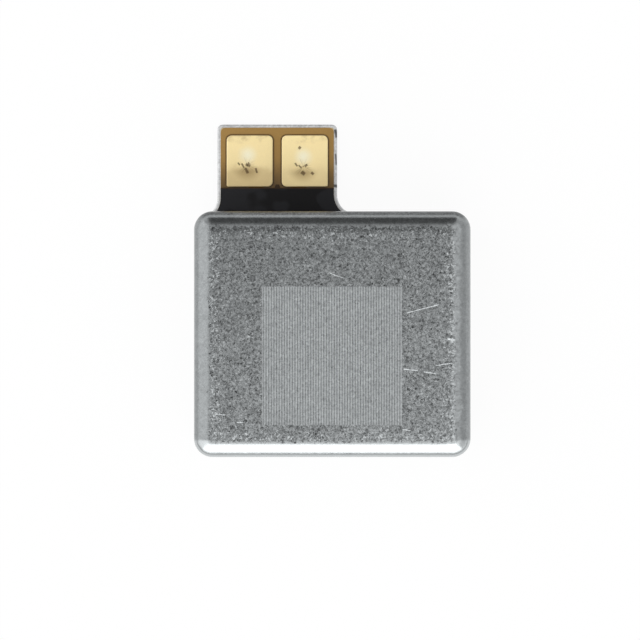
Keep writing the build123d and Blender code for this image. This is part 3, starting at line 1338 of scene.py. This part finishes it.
flat_x = half_x - can_rim / mm
flat_y = half_y - can_rim / mm
flat_high = Vector((flat_x, flat_y)) * mm
lid_edge = steel.box_edge(-flat_high, flat_high, flat_corner)
ragged = middling * 0.07 + fine * 0.09
on_lid = steel.step(lid_edge + ragged, 0.06, -0.06)
on_lid = on_lid * steel.step(steel.z, lid_top - 0.1, lid_top - 0.05)
edge_wear = steel.step(lid_edge + drifting * 0.1, -0.60, -0.02)
nick_noise = steel.noise(0.075, detail=1.0, distortion=0.8)
nicks = steel.step(nick_noise - (1.0 - edge_wear) * 0.30, 0.14, 0.46)
pits = steel.step(steel.noise(0.08, detail=1.0, distortion=0.6), -0.42, -0.66)

hatch_low = Vector((-2.28, -2.94)) * mm
hatch_high = Vector((2.26, 1.54)) * mm
hatch_edge = steel.box_edge(hatch_low, hatch_high) + middling * 0.012
hatched = steel.step(hatch_edge, 0.02, -0.02) * on_lid
hatch_pitch = 0.085
line_waver = steel.noise(0.5, detail=1.0) * 0.25
lines = steel.maths("SINE", steel.x * (2 * math.pi / hatch_pitch) + line_waver)

scratches = [
    ((2.32, 0.66), (3.55, 0.98), 0.020),
    ((2.26, -1.13), (2.80, -1.19), 0.018),
    ((2.92, -1.22), (3.39, -1.29), 0.020),
    ((3.30, -1.03), (3.94, -0.93), 0.018),
    ((3.72, -0.16), (4.02, -0.20), 0.040),
    ((2.26, -3.09), (2.55, -3.13), 0.018),
    ((-0.08, 1.98), (0.15, 1.88), 0.018),
    ((0.12, 1.90), (0.41, 1.80), 0.016),
    ((-3.12, -2.86), (-2.88, -2.86), 0.018),
    ((-3.80, -2.60), (-3.45, -2.62), 0.016),
]
scratched = steel.strokes(scratches) * on_lid

# Painted light: the lid's grey darkens towards the back and the left, as the studio light falls.
painted_light_tilt = steel.y * -0.010 + steel.x * 0.004
# The lid is made brighter in patches along its right-hand edge.
right_edge_place = lid_edge + drifting * 0.10
right_edge_band = steel.step(right_edge_place, -0.16, -0.04) * steel.step(right_edge_place, 0.24, 0.10)
right_edge_band = right_edge_band * steel.step(steel.x, 3.6, 3.8) * (0.12 + middling * 0.11)
# Painted shade: the lid is darkened along its back edge, next to the rim's dark band.
painted_back_shade = steel.step(steel.y + middling * 0.16 + fine * 0.06, flat_y - 0.26, flat_y - 0.04)
reflect = lid_level + painted_light_tilt + cloudy * 0.015 + drifting * 0.018
reflect = reflect * (1.0 + mottle * mottle_contrast)
reflect = reflect + nicks * (0.22 + edge_wear * 0.14) + curls * 0.13 - pits * 0.06
reflect = reflect * (1.0 - painted_back_shade * 0.5)
frost = frost_level + lines * (0.10 + middling * 0.06) + mottle * 0.22
reflect = reflect + hatched * (frost - reflect)
reflect = reflect + scratched * 0.36

faces_front = steel.step(steel.y, -half_y + 0.62, -half_y + 0.5)
faces_back = steel.step(steel.y, half_y - 0.34, half_y - 0.08)
below_lid = lid_top - steel.z
# Painted reflection: a thin dark line of the horizon along the front rim.
horizon_place = abs(below_lid - horizon_drop - middling * 0.022)
horizon = steel.step(horizon_place, 0.035, 0.012) * faces_front
rim_grain = (middling * 0.05 + fine * 0.06) * (1.0 - faces_front * 0.7)
rim_reflect = rim_level + rim_grain + drifting * 0.02
# Painted highlight: the rim's front is made brighter, as the white card in front shines in it.
rim_reflect = rim_reflect + faces_front * (painted_front_highlight + middling * 0.03 - horizon_depth * horizon)
# Painted shade: a dark band on the back rim's shoulder stands for the dark card's reflection; it is
# also made rougher.
painted_dark_shoulder = steel.step(below_lid + middling * 0.03, 0.14, 0.20) * steel.step(below_lid, 0.50, 0.36)
painted_dark_shoulder = painted_dark_shoulder * faces_back
rim_reflect = rim_reflect - painted_dark_shoulder * (0.17 - fine * 0.06)
on_wall = steel.step(below_lid, 0.35, 0.6)
# The front wall below the rim gives back most of that painted highlight.
rim_reflect = rim_reflect - on_wall * faces_front * 0.22
die_lines = steel.noise(0.07, detail=2.0, stretch=(1.0, 1.0, 0.05))
rim_reflect = rim_reflect + on_wall * (0.09 + die_lines * 0.05 + cloudy * 0.02)
reflect = rim_reflect + on_lid * (reflect - rim_reflect) + right_edge_band
cool_tint = (0.94, 0.985, 1.0)
steel.feed("Base Color", steel.shaded(cool_tint, steel.clamp(reflect)))
shine = 0.22 + on_lid * 0.05 + hatched * 0.16 + mottle * 0.03 + scratched * 0.2
steel.feed("Roughness", shine + painted_dark_shoulder * 0.14)
relief = mottle + lines * hatched * 0.4 - scratched * 1.5 + on_wall * die_lines * 0.5
steel.bump(relief, 0.0012)
print("steel nodes", len(steel.tree.nodes))

# %% [markdown]
# ### Plate steel
# The plate is the same sheet with a bright nickel flash, so the bare rim round the flex looks
# almost white. Its sheared edge has small dark nicks where the plate was snapped off its strip.

# %% Plate steel
plate = Finish("base_steel", {"Metallic": 1.0})
grain = plate.noise(0.09, detail=2.0, distortion=0.8)
wash = plate.noise(0.6, detail=2.0)
rim_x = tab_right / mm
snap_marks = plate.strokes(
    [
        ((rim_x - 0.07, 6.82), (rim_x - 0.01, 6.50), 0.06),
        ((rim_x - 0.13, 4.93), (rim_x + 0.04, 4.90), 0.07),
        ((rim_x - 0.05, 6.02), (rim_x - 0.03, 5.58), 0.032),
    ]
)
sheared = plate.step(plate.z, 0.16, 0.12)
plate_reflect = 0.64 + wash * 0.06 + grain * 0.20 - sheared * 0.20
plate_reflect = plate_reflect * (1.0 - snap_marks * 0.8)
plate.feed("Base Color", plate.shaded((0.985, 0.995, 1.0), plate.clamp(plate_reflect)))
plate.feed("Roughness", 0.44 + grain * 0.05)
plate.bump(grain, 0.001)

# %% [markdown]
# ### Films
# Polyimide is amber and clear. Its colour is painted darker towards the can, as the can's shadow,
# and round the pads, as their shadow and a dark glue line. The coverlay is a matt black ink with
# soft patches, and thins to brown at its cut edge.

# %% Polyimide
amber = Finish(
    "polyimide",
    {"IOR": 1.6, "Specular IOR Level": 0.25, "Coat Weight": 0.08, "Coat Roughness": 0.2},
)
weave = amber.noise(0.05, detail=2.0)
drift = amber.noise(0.4, detail=1.0)
pad_distance = amber.maths(
    "MINIMUM",
    amber.box_edge(pad_left_low.xy, pad_left_high.xy, pad_corner / mm),
    amber.box_edge(pad_right_low.xy, pad_right_high.xy, pad_corner / mm),
)
# Round each pad the film is darker: painted shadow of the pad's edge, and a dark glue line.
pad_shade_and_glue = amber.step(pad_distance, 0.075, 0.01)
# Painted shadow: the film darkens towards the can, where the can shades it.
painted_can_shadow_on_film = amber.step(amber.y + drift * 0.06, 6.0, 4.75)
amber_colour = amber.blend(painted_can_shadow_on_film, display(156, 121, 61), display(102, 77, 35))
amber_colour = amber.blend(pad_shade_and_glue * 0.85, amber_colour, display(57, 38, 13))
flecks = amber.step(weave, 0.75, 1.0) * amber.step(amber.y, 6.1, 6.5)
amber_colour = amber.blend(flecks * 0.5, amber_colour, display(180, 162, 124))
amber.feed("Base Color", amber.shaded(amber_colour, 1.0 + weave * 0.08))
amber.feed("Roughness", 0.42 + weave * 0.05)
amber.bump(weave + drift, 0.0006)

# %% Black film
black = Finish("black_film", {"IOR": 1.5, "Specular IOR Level": 0.2})
patch = black.noise(0.9, detail=1.0)
grit = black.noise(0.06, detail=1.0)
film_end = tail_high.y / mm
cut_edge = black.step(black.y + grit * 0.012, film_end - 0.055, film_end - 0.005)
black_colour = black.tones(patch, -0.12, 0.12, (15, 14, 16), (31, 31, 34))
black.feed("Base Color", black.blend(cut_edge * 0.8, black_colour, display(60, 41, 18)))
black.feed("Roughness", 0.62 + grit * 0.04)
black.bump(grit, 0.0006)

# %% Adhesive
glue = Finish("adhesive", {"IOR": 1.5})
glue_cloud = glue.noise(0.3, detail=2.0)
glue.grained(glue_cloud, -0.6, 0.6, (196, 176, 132), (214, 200, 164), 0.4, 0.06, 0.002)

# %% [markdown]
# ### Gold
# The pads are soft gold over nickel, with a satin grain. Each pin strike has wrinkled the gold
# round the pit: short dark creases spread from it. Below the pit the gold is painted darker and
# made rougher, as shade on the dish's lower slope, and above it a painted highlight stands for
# the light on its upper slope. All of them are measured from the pit, so they go where it goes.
# The lower part of each pad is painted darker too, as the can's shadow.

# %% Gold pads
gold = Finish("gold_plate", {"Metallic": 0.2, "Specular IOR Level": 0.5})
satin = gold.noise(0.04, detail=2.0, distortion=0.5)
stain = gold.noise(0.28, detail=3.0)

# Creases from each pit: start and end, measured from the pit, and width, in millimetres.
pin_creases = {
    "left": [
        ((-0.32, 0.09), (-0.25, 0.00), 0.032),
        ((-0.20, 0.07), (-0.11, -0.09), 0.038),
        ((-0.07, 0.04), (0.10, -0.03), 0.065),
        ((0.02, 0.10), (0.06, 0.04), 0.032),
        ((-0.08, -0.08), (0.02, -0.28), 0.058),
        ((0.27, -0.08), (0.32, -0.27), 0.043),
    ],
    "right": [
        ((-0.28, 0.13), (-0.19, 0.01), 0.035),
        ((-0.16, 0.06), (-0.05, -0.05), 0.029),
        ((0.04, 0.00), (0.14, 0.08), 0.049),
        ((-0.07, -0.16), (0.06, -0.26), 0.080),
        ((0.26, -0.18), (0.35, -0.26), 0.058),
        ((-0.16, 0.66), (-0.08, 0.60), 0.065),
    ],
}


def strike_marks(side, low, high):
    """The marks round a pin's pit: creases, a painted shade below it and a painted highlight above
    it.
    """
    pit = ((low + high) / 2 + pit_offsets[side]) / mm
    dx = gold.x - pit.x
    dy = gold.y - pit.y
    away = gold.maths("SQRT", dx * dx + dy * dy)
    angle = gold.maths("ARCTAN2", dy, dx)
    ring_x = gold.maths("COSINE", angle)
    ring_y = gold.maths("SINE", angle)
    ring = gold.add("CombineXYZ", {}, {"X": ring_x, "Y": ring_y})
    rays = gold.add("TexNoise", {}, {"Vector": ring, "Scale": 4.2, "Detail": 2.0})
    spread = gold.step(away, 0.36, 0.10) * gold.step(away, 0.02, 0.06)
    faint = gold.step(rays, 0.52, 0.62) * spread * 0.45
    creases = sum(
        gold.stroke((pit.x + x, pit.y + y), (pit.x + end_x, pit.y + end_y), width)
        for (x, y), (end_x, end_y), width in pin_creases[side]
    )
    # Painted shade: the gold below the pit is darker, as the dish's lower slope reflects the dark
    # back card; it is also made rougher.
    below = gold.step(dy + away * 0.1, 0.02, -0.22) * gold.step(away, 0.62, 0.10)
    # Painted highlight: a bright spot above the pit, where the dish's upper slope catches light.
    rise = dy - 0.33
    from_spot = gold.maths("SQRT", dx * dx + rise * rise)
    spot = gold.step(from_spot + stain * 0.03, 0.40, 0.0)
    return faint + creases, below, spot


left_marks = strike_marks("left", pad_left_low, pad_left_high)
right_marks = strike_marks("right", pad_right_low, pad_right_high)
creases, painted_shade_below_pit, painted_pit_highlight = [gold.clamp(a + b) for a, b in zip(left_marks, right_marks)]
pad_top_y = pad_left_high.y / mm
pads_middle = between_pads / mm
pad_low_y = pad_left_low.y / mm
left_pad = gold.step(gold.x, pads_middle + 0.1, pads_middle - 0.1)
# Painted shadow: each pad's lower part is darker, as the can shades it, more so on the left pad,
# which is also a little darker all over.
painted_can_shadow_on_pads = gold.step(gold.y + stain * 0.10, pad_low_y + 0.82, pad_low_y + 0.42)
painted_can_shadow_on_pads = painted_can_shadow_on_pads * (0.24 + left_pad * 0.32)
dull_top = gold.step(gold.y + stain * 0.12, pad_top_y - 0.28, pad_top_y) * gold.step(stain, -0.3, 0.5)
gold_colour = gold.blend(painted_can_shadow_on_pads, display(255, 233, 174), display(202, 174, 122))
gold_colour = gold.blend(dull_top * 0.45, gold_colour, display(176, 146, 92))
gold_colour = gold.blend(painted_pit_highlight, gold_colour, display(255, 247, 214))
gold_colour = gold.blend(painted_shade_below_pit * 0.7, gold_colour, display(146, 114, 64))
gold_colour = gold.blend(creases * 0.8, gold_colour, display(84, 58, 24))
gold.feed("Base Color", gold.shaded(gold_colour, 1.0 + satin * 0.03 - left_pad * 0.04))
gold.feed("Roughness", 0.5 + satin * 0.03 + painted_shade_below_pit * 0.08)
gold.bump(satin * 0.5 - creases * 6.0, 0.002)
print("gold nodes", len(gold.tree.nodes))

# %% Weld steel
weld = Finish("weld_steel", {"Metallic": 1.0})
heat = weld.noise(0.12, detail=2.0)
weld.grained(heat, -0.5, 0.7, (130, 127, 123), (160, 158, 155), 0.3, 0.06, 0.001)

# %% [markdown]
# ## Finishes inside the can
# The inside is cleaner than the outside. Wire is copper under clear amber enamel, the weight has a
# sintered grain, the spring is rolled strip with its grain along its length, and the foam is open
# cells.

# %% Wire, solder and copper
wire = Finish("enamelled_wire", {"Metallic": 0.9, "Coat Weight": 0.7, "Coat Roughness": 0.1})
enamel = wire.noise(0.35, detail=2.0)
wire.feed("Base Color", wire.tones(enamel, -0.6, 0.6, (176, 92, 46), (204, 122, 66)))
wire.feed("Roughness", 0.3 + enamel * 0.04)
wire.bump(wire.noise(0.05, detail=1.0), 0.0006)

solder = Finish("solder", {"Metallic": 1.0})
frosting = solder.noise(0.05, detail=2.0, distortion=0.4)
solder.grained(frosting, -0.5, 0.6, (184, 186, 188), (222, 223, 224), 0.26, 0.08, 0.002)

copper = Finish("copper_foil", {"Metallic": 0.85})
tarnish = copper.noise(0.12, detail=3.0)
copper_colour = copper.tones(tarnish, -0.4, 0.6, (176, 104, 68), (206, 136, 98))
# Where it shows at the pads' lower edge, the copper is painted dark, as the shade and glue line round
# the pads' feet.
at_pads = copper.step(copper.y, film_end - 0.12, film_end - 0.02)
copper.feed("Base Color", copper.blend(at_pads, copper_colour, display(74, 50, 20)))
copper.feed("Roughness", 0.38 + tarnish * 0.05)
copper.bump(tarnish, 0.001)

# %% Tungsten, magnets and pole plate
tungsten = Finish("tungsten_alloy", {"Metallic": 1.0})
sinter = tungsten.noise(0.035, detail=3.0)
patches = tungsten.noise(0.5, detail=2.0)
sintered = sinter + patches * 0.5
tungsten_colour = tungsten.tones(sintered, -0.8, 0.8, (122, 120, 116), (164, 162, 157))
tungsten.feed("Base Color", tungsten_colour)
tungsten.feed("Roughness", 0.42 + sinter * 0.06)
tungsten.bump(sinter, 0.003)

nickel = Finish("nickel_plate", {"Metallic": 1.0})
orange_peel = nickel.noise(0.09, detail=2.0)
nickel.grained(orange_peel, -0.8, 0.8, (196, 190, 178), (214, 209, 198), 0.2, 0.03, 0.0015)

pole = Finish("pole_steel", {"Metallic": 1.0})
rolled = pole.noise(0.05, detail=2.0, stretch=(0.12, 1.0, 1.0))
pole.grained(rolled, -0.7, 0.7, (140, 142, 144), (170, 172, 174), 0.32, 0.05, 0.001)

# %% Spring strip, rubber and foam
spring = Finish("spring_steel", {"Metallic": 1.0})
along = spring.noise(0.03, detail=2.0, stretch=(1.0, 0.06, 1.0))
spring.grained(along, -0.7, 0.7, (182, 180, 174), (212, 210, 205), 0.24, 0.05, 0.0008)

rubber = Finish("stop_rubber", {"IOR": 1.5, "Specular IOR Level": 0.4})
bloom = rubber.noise(0.12, detail=3.0)
rubber.grained(bloom, -0.6, 0.8, (38, 38, 40), (58, 58, 61), 0.6, 0.08, 0.003)

cell_foam = Finish("damping_foam", {"IOR": 1.4, "Specular IOR Level": 0.2})
cells_per_mm = 22.0
cell_size = cell_foam.add(
    "TexVoronoi",
    {"feature": "DISTANCE_TO_EDGE"},
    {"Vector": cell_foam.place, "Scale": cells_per_mm},
)
cell_walls = cell_foam.step(cell_size, 0.14, 0.04)
# Painted shade: the open cells are darker than their walls, as the pores lie in shade.
cell_foam.feed("Base Color", cell_foam.blend(cell_walls, display(52, 52, 56), display(104, 104, 110)))
cell_foam.feed("Roughness", 0.8 + cell_walls * 0.1)
cell_foam.bump(cell_walls, 0.008)
print("finishes", len(finishes))

# %% [markdown]
# ## Dressing the pieces
# Each piece, and each CAD node that still shows, takes the finish of its slot. A piece noted its
# own when it was placed, and a node's is the name of the material it came with.

# %% Dress
for name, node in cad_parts.items():
    finish_of[node.name] = node.material_slots[0].material.name
for name, slot in finish_of.items():
    if slot in finishes:
        mesh = bpy.data.objects[name].data
        mesh.materials.clear()
        mesh.materials.append(finishes[slot])
print("finishes", len(finishes))
